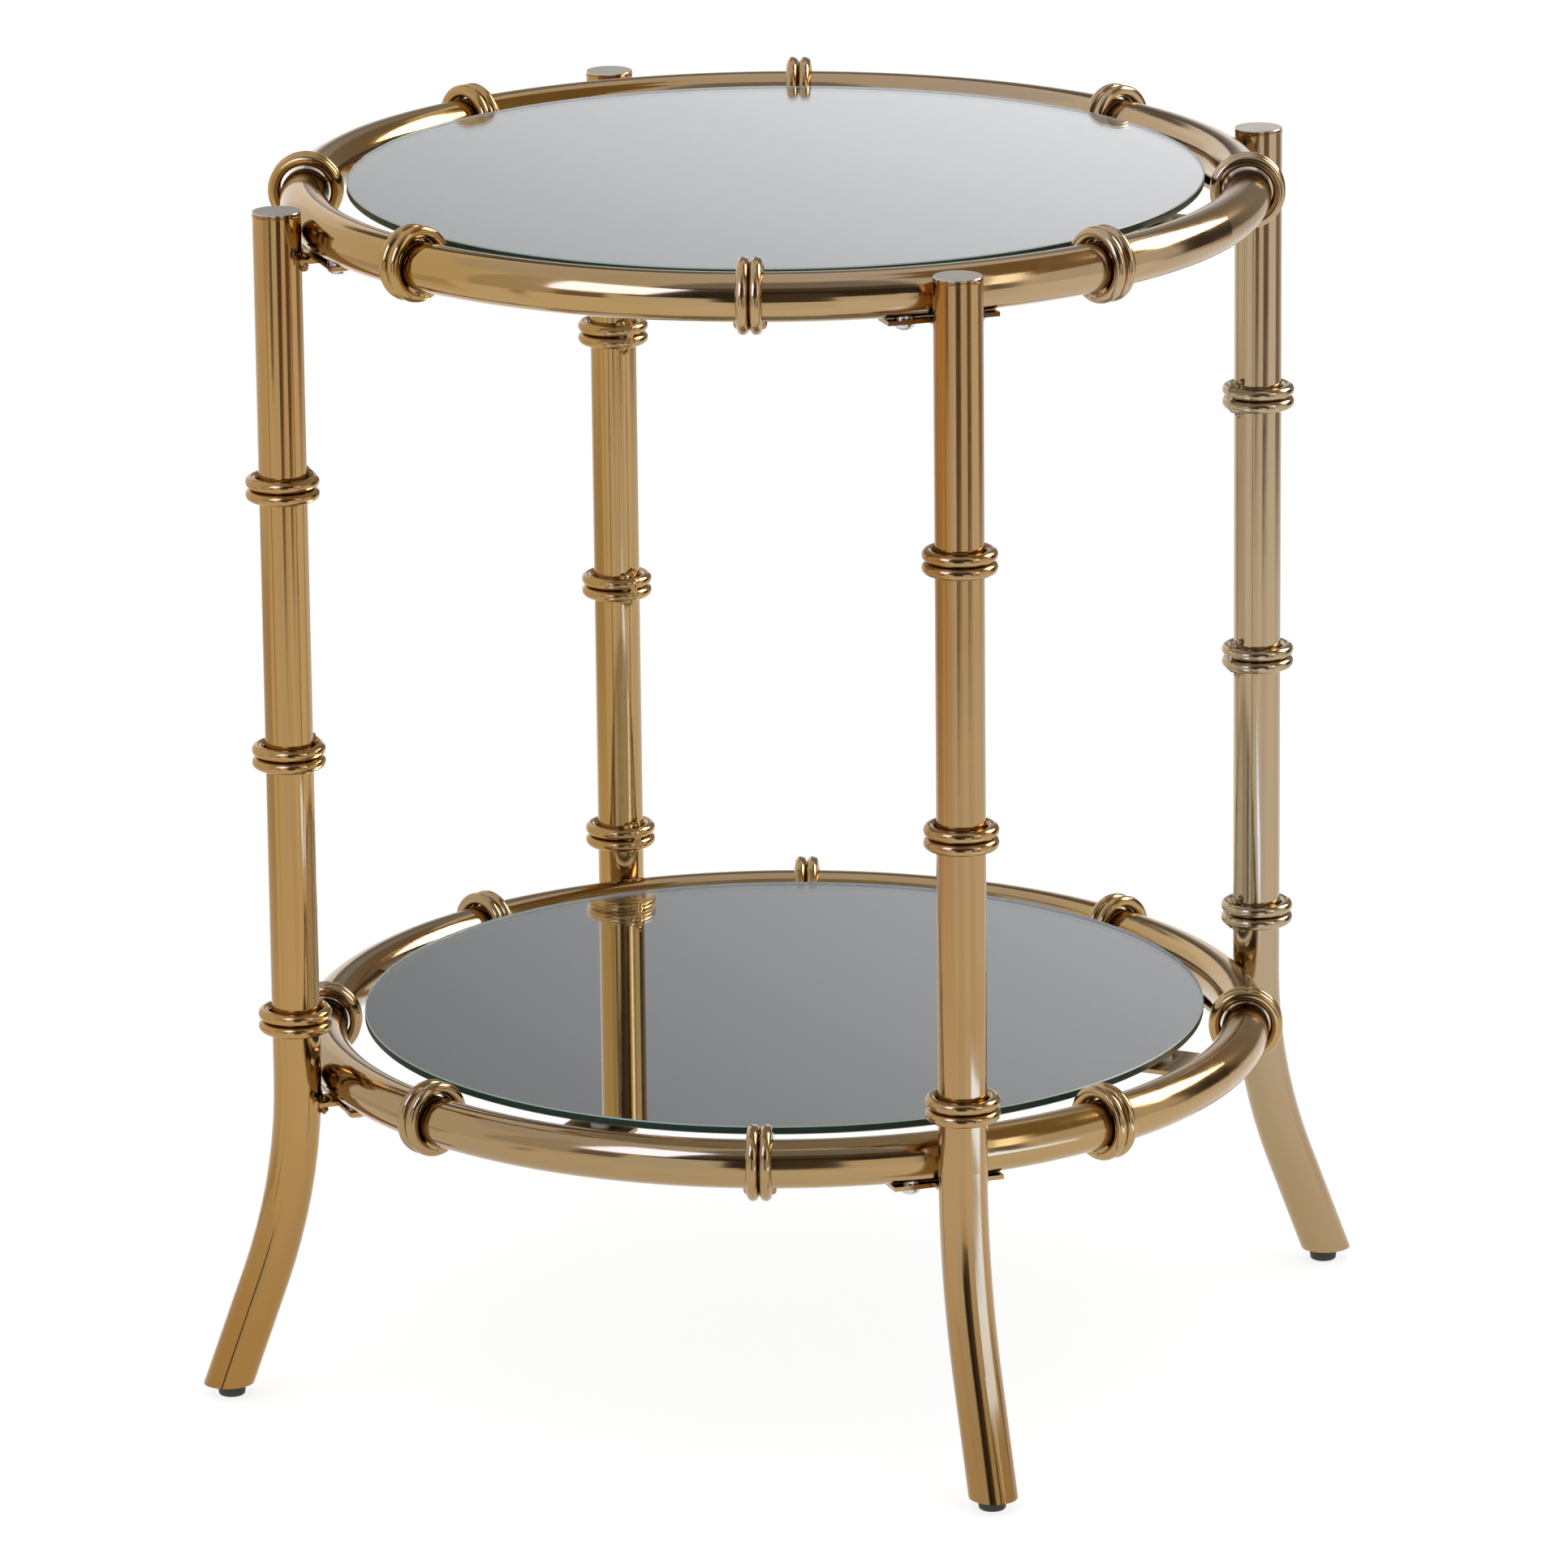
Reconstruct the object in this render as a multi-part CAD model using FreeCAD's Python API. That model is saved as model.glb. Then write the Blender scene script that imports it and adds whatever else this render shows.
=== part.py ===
import FreeCAD, Part
import math
import os

# Round two-tier side table in millimetres.  +Z is up, the origin lies on the floor
# under the middle of the table, and the legs stand on the diagonals between X and Y.

# Round tube of the hoops and legs
tube_outer = 22.0
tube_wall = 1.2

# The two hoops, given by the circle through the middle of the tube
hoop_radius = 214.5
lower_hoop_level = 148.4
tier_spacing = 395.5

# Legs: straight from the top to the lower hoop, then bent outwards down to the feet
hoop_to_leg_gap = 0.3
leg_top_rise = 10.6
bend_radius = 260.0
flare_angle = 21.0

# Disc that closes a leg at the top, and its spigot inside the tube
cap_thickness = 1.5
cap_spigot_depth = 6.0
cap_edge_break = 0.3
plug_clearance = 0.1

# Plug that closes a leg at the bottom, and the foot with its stem pressed into the plug
end_plug_thickness = 4.0
foot_height = 6.0
foot_top_diameter = 13.4
foot_base_diameter = 12.0
foot_edge_round = 1.2
foot_stem_diameter = 6.0
foot_stem_overrun = 3.0
foot_stem_clearance = 0.1
foot_inset = 1.2

# Bracket plates that carry the hoops on the legs
bracket_thickness = 2.0
bracket_end_margin = 9.5
bracket_inner_reach = 8.0
bracket_outer_reach = 5.0
bracket_neck_width = 14.0
bracket_cope_depth = 3.0
bracket_gap = 0.4

# Pan-head screws through the brackets
screw_spacing = 33.0
screw_diameter = 5.0
screw_hole_clearance = 0.25
screw_head_lip = 2.2
screw_head_height = 3.2
screw_tip_overrun = 2.0
head_round_share = 0.85
recess_span = 4.6
recess_slot = 0.9
recess_depth = 1.5

# Rivet nuts set in the hoops
nut_wall = 0.9
nut_flange_lip = 1.0
nut_body_length = 9.0
nut_bore_clearance = 0.1
nut_hole_clearance = 0.1

# Decorative double rings of round wire, and the weld that fixes each pair to its tube
ring_wire = 5.5
ring_gap = 0.3
hoop_collar_clearance = 1.4
leg_collar_clearance = 0.7
ring_contact_gap = 0.1
weld_radius = 2.4
weld_depth = 0.9
weld_overrun = 1.8
weld_round_share = 0.8
first_leg_collar_rise = 28.6
last_leg_collar_drop = 116.7

# Mirror discs; each rise is the height of the face above the middle of its hoop
mirror_edge_gap = 2.3
mirror_thickness = 4.0
mirror_edge_break = 0.5
upper_mirror_rise = 8.2
lower_mirror_rise = 11.2

# Tabs welded to the hoops under the mirrors, and the soft pads between
tab_width = 32.0
tab_thickness = 2.0
tab_reach = 14.0
tab_corner = 6.0
pad_diameter = 10.0
pad_thickness = 1.5
pad_inset = 4.0

# Tube, hoop and leg places that follow from these
tube_radius = tube_outer / 2
bore_radius = tube_radius - tube_wall
upper_hoop_level = lower_hoop_level + tier_spacing
leg_axis_radius = hoop_radius + tube_outer + hoop_to_leg_gap
leg_tube_top = upper_hoop_level + leg_top_rise - cap_thickness
slope = math.radians(flare_angle)
flare_start_radius = leg_axis_radius + bend_radius * (1 - math.cos(slope))
flare_start_level = lower_hoop_level - bend_radius * math.sin(slope)
leg_end_radius = flare_start_radius + (flare_start_level - foot_height) * math.tan(slope)
foot_radius = leg_end_radius - foot_inset

# Fastener, ring and mirror sizes that follow from these
nut_body_radius = screw_diameter / 2 + nut_bore_clearance + nut_wall
hoop_collar_bore = tube_outer + hoop_collar_clearance
leg_collar_bore = tube_outer + leg_collar_clearance
ring_pitch = ring_wire + ring_gap
mirror_radius = hoop_radius - hoop_collar_bore / 2 - ring_wire - mirror_edge_gap

# Legs and tabs take turns round the hoops, and a collar sits halfway between each two
corners = ("front_right", "back_right", "back_left", "front_left")
leg_step = 360 / len(corners)
leg_angles = {corner: leg_step * (number - 1 / 2) for number, corner in enumerate(corners)}
tab_angles = [leg_step * number for number in range(len(corners))]
collar_angles = [leg_step * (number + 1 / 2) / 2 for number in range(2 * len(corners))]
leg_collar_places = ("low", "middle", "high")
leg_collar_span = tier_spacing - first_leg_collar_rise - last_leg_collar_drop
leg_collar_pitch = leg_collar_span / (len(leg_collar_places) - 1)
tiers = {
    "upper": (upper_hoop_level, upper_mirror_rise),
    "lower": (lower_hoop_level, lower_mirror_rise),
}

up = FreeCAD.Vector(0, 0, 1)
tangent = FreeCAD.Vector(0, 1, 0)


def point(x, y, z):
    return FreeCAD.Vector(x, y, z)


def turned(shape, angle):
    return shape.rotated(point(0, 0, 0), up, angle)


def around(shape, angles):
    return Part.makeCompound([turned(shape, angle) for angle in angles])


def prism(outline, bottom, height):
    corner_points = [point(x, y, bottom) for x, y in outline]
    face = Part.Face(Part.makePolygon(corner_points + corner_points[:1]))
    return face.extrude(up * height)


def round_edges(shape):
    """The edges that are whole circles."""
    return [edge for edge in shape.Edges if len(edge.Vertexes) == 1]


def hoop_rod(level, radius):
    return Part.makeTorus(hoop_radius, radius, point(0, 0, level), up)


def leg_rod(radius):
    """Round rod along a leg's middle line, cut level at the foot, on the X side of the table."""
    bend_start = point(leg_axis_radius, 0, lower_hoop_level)
    straight = Part.makeCylinder(radius, leg_tube_top - lower_hoop_level, bend_start, up)
    bend_centre = point(leg_axis_radius + bend_radius, 0, lower_hoop_level)
    section = Part.Face(Part.Wire(Part.makeCircle(radius, bend_start, up)))
    bend = section.revolve(bend_centre, -tangent, flare_angle)
    flare_start = point(flare_start_radius, 0, flare_start_level)
    flare_way = point(math.sin(slope), 0, -math.cos(slope))
    flare_length = flare_start_level / math.cos(slope) + tube_outer
    flare = Part.makeCylinder(radius, flare_length, flare_start, flare_way)
    rod = straight.fuse([bend, flare]).removeSplitter()
    span = leg_axis_radius + bend_radius
    below = Part.makeBox(span, span, span, point(0, -span / 2, foot_height - span))
    return rod.cut(below)


def screw_points():
    """Places of the two screws of a bracket, on the hoop's circle either side of the leg."""
    half = screw_spacing / 2
    x = math.sqrt(hoop_radius ** 2 - half ** 2)
    return (x, -half), (x, half)


def bracket_top(level):
    return level - tube_radius - bracket_gap


def hoop(level):
    """Tube bent to a ring, with holes from below for the rivet nuts."""
    tube = hoop_rod(level, tube_radius).cut(hoop_rod(level, bore_radius))
    hole_radius = nut_body_radius + nut_hole_clearance
    holes = []
    for angle in leg_angles.values():
        for x, y in screw_points():
            hole = Part.makeCylinder(hole_radius, tube_outer, point(x, y, level - tube_outer), up)
            holes.append(turned(hole, angle))
    return tube.cut(holes)


def leg():
    return leg_rod(tube_radius).cut(leg_rod(bore_radius))


def leg_cap():
    """Welded disc on top of a leg with a spigot that centres it in the tube."""
    disc = Part.makeCylinder(tube_radius, cap_thickness, point(leg_axis_radius, 0, leg_tube_top), up)
    rim = [edge for edge in round_edges(disc) if edge.BoundBox.ZMin > leg_tube_top]
    disc = disc.makeChamfer(cap_edge_break, rim)
    spigot_base = point(leg_axis_radius, 0, leg_tube_top - cap_spigot_depth)
    spigot = Part.makeCylinder(bore_radius - plug_clearance, cap_spigot_depth, spigot_base, up)
    return disc.fuse(spigot).removeSplitter()


def end_plug():
    """Plug inside the slanted lower end of a leg, flush with the cut, bored for the foot's stem."""
    rod = leg_rod(bore_radius - plug_clearance)
    span = leg_axis_radius + bend_radius
    slab = Part.makeBox(span, span, end_plug_thickness, point(0, -span / 2, foot_height))
    hole_radius = foot_stem_diameter / 2 + foot_stem_clearance
    hole = Part.makeCylinder(hole_radius, end_plug_thickness, point(foot_radius, 0, foot_height), up)
    return rod.common(slab).cut(hole)


def foot():
    """Tapered foot with a rounded lower edge and a stem pressed into the plug above it."""
    base = point(foot_radius, 0, 0)
    cone = Part.makeCone(foot_base_diameter / 2, foot_top_diameter / 2, foot_height, base, up)
    rim = [edge for edge in round_edges(cone) if edge.BoundBox.ZMax < foot_height / 2]
    cone = cone.makeFillet(foot_edge_round, rim)
    stem_length = end_plug_thickness + foot_stem_overrun
    stem = Part.makeCylinder(foot_stem_diameter / 2, stem_length, base + up * foot_height, up)
    return cone.fuse(stem).removeSplitter()


def bracket(level):
    """Flat T-shaped plate: a bar under the hoop with two holes, and a neck coped to the leg."""
    outer = leg_axis_radius - tube_radius + bracket_cope_depth
    edge = hoop_radius + bracket_outer_reach
    inner = hoop_radius - bracket_inner_reach
    half = screw_spacing / 2 + bracket_end_margin
    neck = bracket_neck_width / 2
    outline = [(outer, -neck), (outer, neck), (edge, neck), (edge, half)]
    outline += [(inner, half), (inner, -half), (edge, -half), (edge, -neck)]
    bottom = bracket_top(level) - bracket_thickness
    plate = prism(outline, bottom, bracket_thickness).cut(leg_rod(tube_radius))
    hole_radius = screw_diameter / 2 + screw_hole_clearance
    for x, y in screw_points():
        plate = plate.cut(Part.makeCylinder(hole_radius, bracket_thickness, point(x, y, bottom), up))
    return plate


def screw(x, y, level):
    """Screw from below, through the bracket into the rivet nut, with a cross recess in its head."""
    seat = bracket_top(level) - bracket_thickness
    length = bracket_thickness + bracket_gap + nut_body_length + screw_tip_overrun
    shank = Part.makeCylinder(screw_diameter / 2, length, point(x, y, seat), up)
    base = point(x, y, seat - screw_head_height)
    head = Part.makeCylinder(screw_diameter / 2 + screw_head_lip, screw_head_height, base, up)
    rim = [edge for edge in round_edges(head) if edge.BoundBox.ZMax < seat - screw_head_height / 2]
    head = head.makeFillet(screw_head_height * head_round_share, rim)
    for size_x, size_y in ((recess_span, recess_slot), (recess_slot, recess_span)):
        slot_corner = base - point(size_x, size_y, 0) / 2
        head = head.cut(Part.makeBox(size_x, size_y, recess_depth, slot_corner))
    return head.fuse(shank).removeSplitter()


def rivet_nut(x, y, level):
    """Threaded insert set in the hoop's underside, its flange drawn up against the tube."""
    base = point(x, y, bracket_top(level))
    length = bracket_gap + nut_body_length
    flange = Part.makeCylinder(nut_body_radius + nut_flange_lip, tube_radius, base, up)
    flange = flange.cut(hoop_rod(level, tube_radius))
    body = Part.makeCylinder(nut_body_radius, length, base, up)
    bore = Part.makeCylinder(screw_diameter / 2 + nut_bore_clearance, length, base, up)
    return flange.fuse(body).removeSplitter().cut(bore)


def ring_pair(bore, middle, way):
    """Two wire rings side by side, about a tube that runs along the given way."""
    ring_radius = (bore + ring_wire) / 2
    offset = way * (ring_pitch / 2)
    places = (middle - offset, middle + offset)
    return [Part.makeTorus(ring_radius, ring_wire / 2, place, way) for place in places]


def weld_bead(place, way):
    length = ring_pitch + ring_wire + 2 * weld_overrun
    bead = Part.makeCylinder(weld_radius, length, place - way * (length / 2), way)
    return bead.makeFillet(weld_radius * weld_round_share, round_edges(bead))


def hoop_collar(level):
    """Double ring about a hoop's tube, pulled up from below and welded on the underside."""
    lift = hoop_collar_clearance / 2 - ring_contact_gap
    rings = ring_pair(hoop_collar_bore, point(hoop_radius, 0, level + lift), tangent)
    bead = weld_bead(point(hoop_radius, 0, level - tube_radius - weld_depth), tangent)
    return bead.fuse(rings).cut(hoop_rod(level, tube_radius)).removeSplitter()


def leg_collar(level):
    """Double ring about a leg, welded on the side that faces the middle of the table."""
    shift = leg_collar_clearance / 2 - ring_contact_gap
    rings = ring_pair(leg_collar_bore, point(leg_axis_radius + shift, 0, level), up)
    bead = weld_bead(point(leg_axis_radius - tube_radius - weld_depth, 0, level), up)
    return bead.fuse(rings).cut(leg_rod(tube_radius)).removeSplitter()


def mirror(level, rise):
    """Round mirror glass with its sharp edges taken off."""
    bottom = point(0, 0, level + rise - mirror_thickness)
    disc = Part.makeCylinder(mirror_radius, mirror_thickness, bottom, up)
    return disc.makeChamfer(mirror_edge_break, round_edges(disc))


def tab_top(level, rise):
    return level + rise - mirror_thickness - pad_thickness


def tab(level, rise):
    """Plate welded to the inside of a hoop that reaches in under the mirror."""
    inner = mirror_radius - tab_reach
    half = tab_width / 2
    narrow = half - tab_corner
    outline = [(hoop_radius, -half), (hoop_radius, half), (inner + tab_corner, half)]
    outline += [(inner, narrow), (inner, -narrow), (inner + tab_corner, -half)]
    plate = prism(outline, tab_top(level, rise) - tab_thickness, tab_thickness)
    return plate.cut(hoop_rod(level, tube_radius))


def pad(level, rise):
    place = point(mirror_radius - pad_inset, 0, tab_top(level, rise))
    return Part.makeCylinder(pad_diameter / 2, pad_thickness, place, up)


def save(node, shape):
    shape.exportStep("parts/" + node + ".step")


os.makedirs("parts", exist_ok=True)

for tier, (level, rise) in tiers.items():
    save(tier + "_hoop", hoop(level))
    save(tier + "_mirror", mirror(level, rise))
    save(tier + "_mirror_tabs", around(tab(level, rise), tab_angles))
    save(tier + "_mirror_pads", around(pad(level, rise), tab_angles))
    screws = Part.makeCompound([screw(x, y, level) for x, y in screw_points()])
    save(tier + "_bracket_screws", around(screws, leg_angles.values()))
    nuts = Part.makeCompound([rivet_nut(x, y, level) for x, y in screw_points()])
    save(tier + "_rivet_nuts", around(nuts, leg_angles.values()))
    plate = bracket(level)
    for corner, angle in leg_angles.items():
        save(tier + "_" + corner + "_bracket", turned(plate, angle))
    collar = hoop_collar(level)
    for number, angle in enumerate(collar_angles, 1):
        save(tier + "_hoop_collar_" + str(number), turned(collar, angle))

leg_tube = leg()
foot_plug = foot()
for corner, angle in leg_angles.items():
    save(corner + "_leg", turned(leg_tube, angle))
    save(corner + "_foot", turned(foot_plug, angle))
save("leg_caps", around(leg_cap(), leg_angles.values()))
save("leg_end_plugs", around(end_plug(), leg_angles.values()))

for number, place in enumerate(leg_collar_places):
    collar = leg_collar(lower_hoop_level + first_leg_collar_rise + number * leg_collar_pitch)
    for corner, angle in leg_angles.items():
        save(corner + "_leg_collar_" + place, turned(collar, angle))
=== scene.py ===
import math

import bmesh
import bpy
from mathutils import Matrix, Vector, noise


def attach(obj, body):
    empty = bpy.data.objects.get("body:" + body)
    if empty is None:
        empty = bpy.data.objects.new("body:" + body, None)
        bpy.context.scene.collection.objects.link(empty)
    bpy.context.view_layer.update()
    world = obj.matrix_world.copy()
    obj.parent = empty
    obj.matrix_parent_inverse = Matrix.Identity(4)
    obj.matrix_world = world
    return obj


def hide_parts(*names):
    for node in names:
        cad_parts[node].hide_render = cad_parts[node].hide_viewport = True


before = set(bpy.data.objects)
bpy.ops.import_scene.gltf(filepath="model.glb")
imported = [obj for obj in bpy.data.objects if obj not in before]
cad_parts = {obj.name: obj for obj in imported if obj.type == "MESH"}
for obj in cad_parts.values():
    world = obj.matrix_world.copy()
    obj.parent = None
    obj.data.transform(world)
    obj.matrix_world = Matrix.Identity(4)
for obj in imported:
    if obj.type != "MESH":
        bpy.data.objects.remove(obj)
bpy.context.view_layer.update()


# The hoops: two rings of round steel tube, bent, butt welded, polished and then plated in a warm gold tone.
# They carry everything else: the mirrors lie inside them and the legs are screwed on outside.

def linear(code):
    """An sRGB hex colour as linear red, green, blue and alpha."""
    parts = [int(code[i:i + 2], 16) / 255 for i in (1, 3, 5)]
    return tuple(c / 12.92 if c <= 0.04045 else ((c + 0.055) / 1.055) ** 2.4 for c in parts) + (1.0,)


def add(tree, kind, inputs=None, **settings):
    """Adds one shader node: settings are its options, inputs are values to set or sockets to link."""
    made = tree.nodes.new(kind)
    for name, value in settings.items():
        setattr(made, name, value)
    for name, value in (inputs or {}).items():
        if isinstance(value, bpy.types.NodeSocket):
            tree.links.new(value, made.inputs[name])
        else:
            made.inputs[name].default_value = value
    return made


def new_tree(name):
    """A new material with an empty node tree."""
    material = bpy.data.materials.new(name)
    material.use_nodes = True
    material.node_tree.nodes.clear()
    return material, material.node_tree


# The plating bath leaves a tone that drifts from brass to champagne, mostly from one side of the table to
# the other, along this direction; part of the drift is a painted reflection of the room on each side.
SIDEWAYS = (0.9018, 0.4322, 0.0)


def gold_plating(name, brass, champagne, span, by_normal=False, heights=None, lines=None, roughness=0.095,
                 dulling=1.0, warm_end=None):
    """Gold-toned plating on polished steel: a mirror shine in two drifting tones, brass and champagne; the
    drift is partly the plating's own tone and partly a painted reflection of the room on each side.
    span is where the drift starts and ends: metres sideways or, by_normal, how far a face turns sideways.
    Between the two heights, downwards, champagne takes over. lines is how the tube was polished: "hoop" for
    along the hoop, the direction across a leg, or None for plate. With the drift, roughness is multiplied
    by dulling. warm_end is two heights and a tint: between them, downwards, the gold takes on the tint, a
    painted darker reflection."""
    material, tree = new_tree(name)
    place = add(tree, "ShaderNodeTexCoord").outputs
    spot = place["Object"]

    # the drift, by place or by facing, is partly the plating's tone and partly a painted reflection of the
    # room on that side
    side = add(tree, "ShaderNodeVectorMath", {0: place["Normal"] if by_normal else spot, 1: SIDEWAYS},
               operation="DOT_PRODUCT").outputs["Value"]
    drift = add(tree, "ShaderNodeMapRange", {"Value": side, "From Min": span[0], "From Max": span[1]},
                interpolation_type="SMOOTHSTEP").outputs["Result"]
    # cloudy patches of plating thickness, about 60 mm across
    cloud = add(tree, "ShaderNodeTexNoise", {"Vector": spot, "Scale": 1 / 0.06, "Detail": 3.0}).outputs["Fac"]
    cloud = add(tree, "ShaderNodeMapRange", {"Value": cloud, "From Min": 0.3, "From Max": 0.7,
                                             "To Min": -0.12, "To Max": 0.12}).outputs["Result"]
    tone = add(tree, "ShaderNodeMath", {0: drift, 1: cloud}, operation="ADD", use_clamp=True).outputs["Value"]
    height = add(tree, "ShaderNodeSeparateXYZ", {"Vector": spot}).outputs["Z"]
    # the change to champagne with height is partly a painted reflection as well
    if heights:
        below = add(tree, "ShaderNodeMapRange", {"Value": height, "From Min": heights[0],
                                                 "From Max": heights[1], "To Min": 1.0, "To Max": 0.0})
        tone = add(tree, "ShaderNodeMath", {0: tone, 1: below.outputs["Result"]},
                   operation="MAXIMUM").outputs["Value"]
    colour = add(tree, "ShaderNodeMix", {0: tone, 6: linear(brass), 7: linear(champagne)},
                 data_type="RGBA").outputs[2]
    # the flared end's tint is a painted darker, warmer reflection
    if warm_end:
        low, high, tint = warm_end
        depth = add(tree, "ShaderNodeMapRange", {"Value": height, "From Min": low, "From Max": high,
                                                 "To Min": 1.0, "To Max": 0.0}).outputs["Result"]
        colour = add(tree, "ShaderNodeMix", {0: depth, 6: colour, 7: linear(tint)}, data_type="RGBA",
                     blend_type="MULTIPLY").outputs[2]

    # wiping leaves the shine uneven in smears about 18 mm across
    smear = add(tree, "ShaderNodeTexNoise", {"Vector": spot, "Scale": 1 / 0.018, "Detail": 4.0,
                                             "Distortion": 0.6}).outputs["Fac"]
    shine = add(tree, "ShaderNodeMapRange", {"Value": smear, "From Min": 0.3, "From Max": 0.7,
                                             "To Min": roughness * 0.8, "To Max": roughness * 1.25})
    dull = add(tree, "ShaderNodeMapRange", {"Value": drift, "To Min": 1.0, "To Max": dulling})
    shine = add(tree, "ShaderNodeMath", {0: shine.outputs["Result"], 1: dull.outputs["Result"]},
                operation="MULTIPLY").outputs["Value"]

    # the tube's own gentle unevenness, 14 mm from crest to crest
    waves = add(tree, "ShaderNodeTexNoise", {"Vector": spot, "Scale": 1 / 0.014, "Detail": 1.0})
    relief = add(tree, "ShaderNodeBump", {"Height": waves.outputs["Fac"], "Distance": 0.00004,
                                          "Strength": 0.5}).outputs["Normal"]
    if lines:
        # polishing lines are about 0.05 mm apart; drawn 0.7 mm apart so that they show
        if lines == "hoop":
            axes = add(tree, "ShaderNodeSeparateXYZ", {"Vector": spot}).outputs
            flat = add(tree, "ShaderNodeCombineXYZ", {"X": axes["X"], "Y": axes["Y"]}).outputs["Vector"]
            across = add(tree, "ShaderNodeVectorMath", {0: flat}, operation="LENGTH").outputs["Value"]
            lane = add(tree, "ShaderNodeCombineXYZ", {"X": across, "Y": axes["Z"]}).outputs["Vector"]
        else:
            across = add(tree, "ShaderNodeVectorMath", {0: spot, 1: lines}, operation="DOT_PRODUCT")
            lane = add(tree, "ShaderNodeCombineXYZ", {"X": across.outputs["Value"]}).outputs["Vector"]
        grain = add(tree, "ShaderNodeTexNoise", {"Vector": lane, "Scale": 1 / 0.0007, "Detail": 2.0})
        relief = add(tree, "ShaderNodeBump", {"Height": grain.outputs["Fac"], "Normal": relief,
                                              "Distance": 0.000004, "Strength": 0.25}).outputs["Normal"]

    metal = add(tree, "ShaderNodeBsdfPrincipled", {"Base Color": colour, "Metallic": 1.0, "Roughness": shine,
                                                   "Normal": relief})
    add(tree, "ShaderNodeOutputMaterial", {"Surface": metal.outputs["BSDF"]})
    return material


def dress(material, *nodes):
    """Gives CAD nodes their finished material."""
    for node in nodes:
        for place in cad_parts[node].material_slots:
            place.material = material


# radius and heights of the hoops' middle lines, in metres
HOOP_RADIUS = 0.2145
LEVELS = {"upper": 0.5439, "lower": 0.1484}
# the drift between the two tones is partly a painted reflection of the room on each side
# brass and champagne tone of each hoop, and the stretch from side to side in which one turns into the other
HOOP_TONES = {"upper": ("#AC8A55", "#B29876"), "lower": ("#A08660", "#AE9062")}
HOOP_SPAN = (-0.2, 0.2)
for tier, (brass, champagne) in HOOP_TONES.items():
    dress(gold_plating(f"gold_plating_{tier}_hoop", brass, champagne, HOOP_SPAN, lines="hoop", dulling=1.5),
          tier + "_hoop")


# The hoop collars: pairs of 5.5 mm wire rings threaded on each hoop for ornament, eight pairs to a hoop.
# Each pair is pulled up against the tube from below and welded there, then plated with the hoop.

# half the distance between the two rings of a pair, in mm
RING_HALF_PITCH = 2.9
COLLAR_ANGLES = [math.radians(22.5 + 45 * k) for k in range(8)]
for tier, (brass, champagne) in HOOP_TONES.items():
    dress(gold_plating(f"gold_plating_{tier}_hoop_rings", brass, champagne, HOOP_SPAN, roughness=0.13,
                       dulling=1.2),
          *[f"{tier}_hoop_collar_{k}" for k in range(1, 9)])


def weld_metal(name, tone, scorched):
    """Plated weld metal: the same gold over a rippled bead with burnt pits, its glint soft and brownish."""
    material, tree = new_tree(name)
    spot = add(tree, "ShaderNodeTexCoord").outputs["Object"]
    # ripples about 1.2 mm apart and pits about 0.5 mm wide, one in each 1.1 mm
    ripple = add(tree, "ShaderNodeTexNoise", {"Vector": spot, "Scale": 1 / 0.0012,
                                              "Detail": 3.0}).outputs["Fac"]
    pits = add(tree, "ShaderNodeTexVoronoi", {"Vector": spot, "Scale": 1 / 0.0011}).outputs["Distance"]
    burnt = add(tree, "ShaderNodeMapRange", {"Value": pits, "From Min": 0.12, "From Max": 0.34,
                                             "To Min": 0.7, "To Max": 0.1}).outputs["Result"]
    colour = add(tree, "ShaderNodeMix", {0: burnt, 6: linear(tone), 7: linear(scorched)},
                 data_type="RGBA").outputs[2]
    shine = add(tree, "ShaderNodeMapRange", {"Value": ripple, "To Min": 0.12, "To Max": 0.3})
    relief = add(tree, "ShaderNodeBump", {"Height": ripple, "Distance": 0.0001, "Strength": 0.3})
    metal = add(tree, "ShaderNodeBsdfPrincipled", {"Base Color": colour, "Metallic": 1.0,
                                                   "Roughness": shine.outputs["Result"],
                                                   "Normal": relief.outputs["Normal"]})
    add(tree, "ShaderNodeOutputMaterial", {"Surface": metal.outputs["BSDF"]})
    return material


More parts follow.
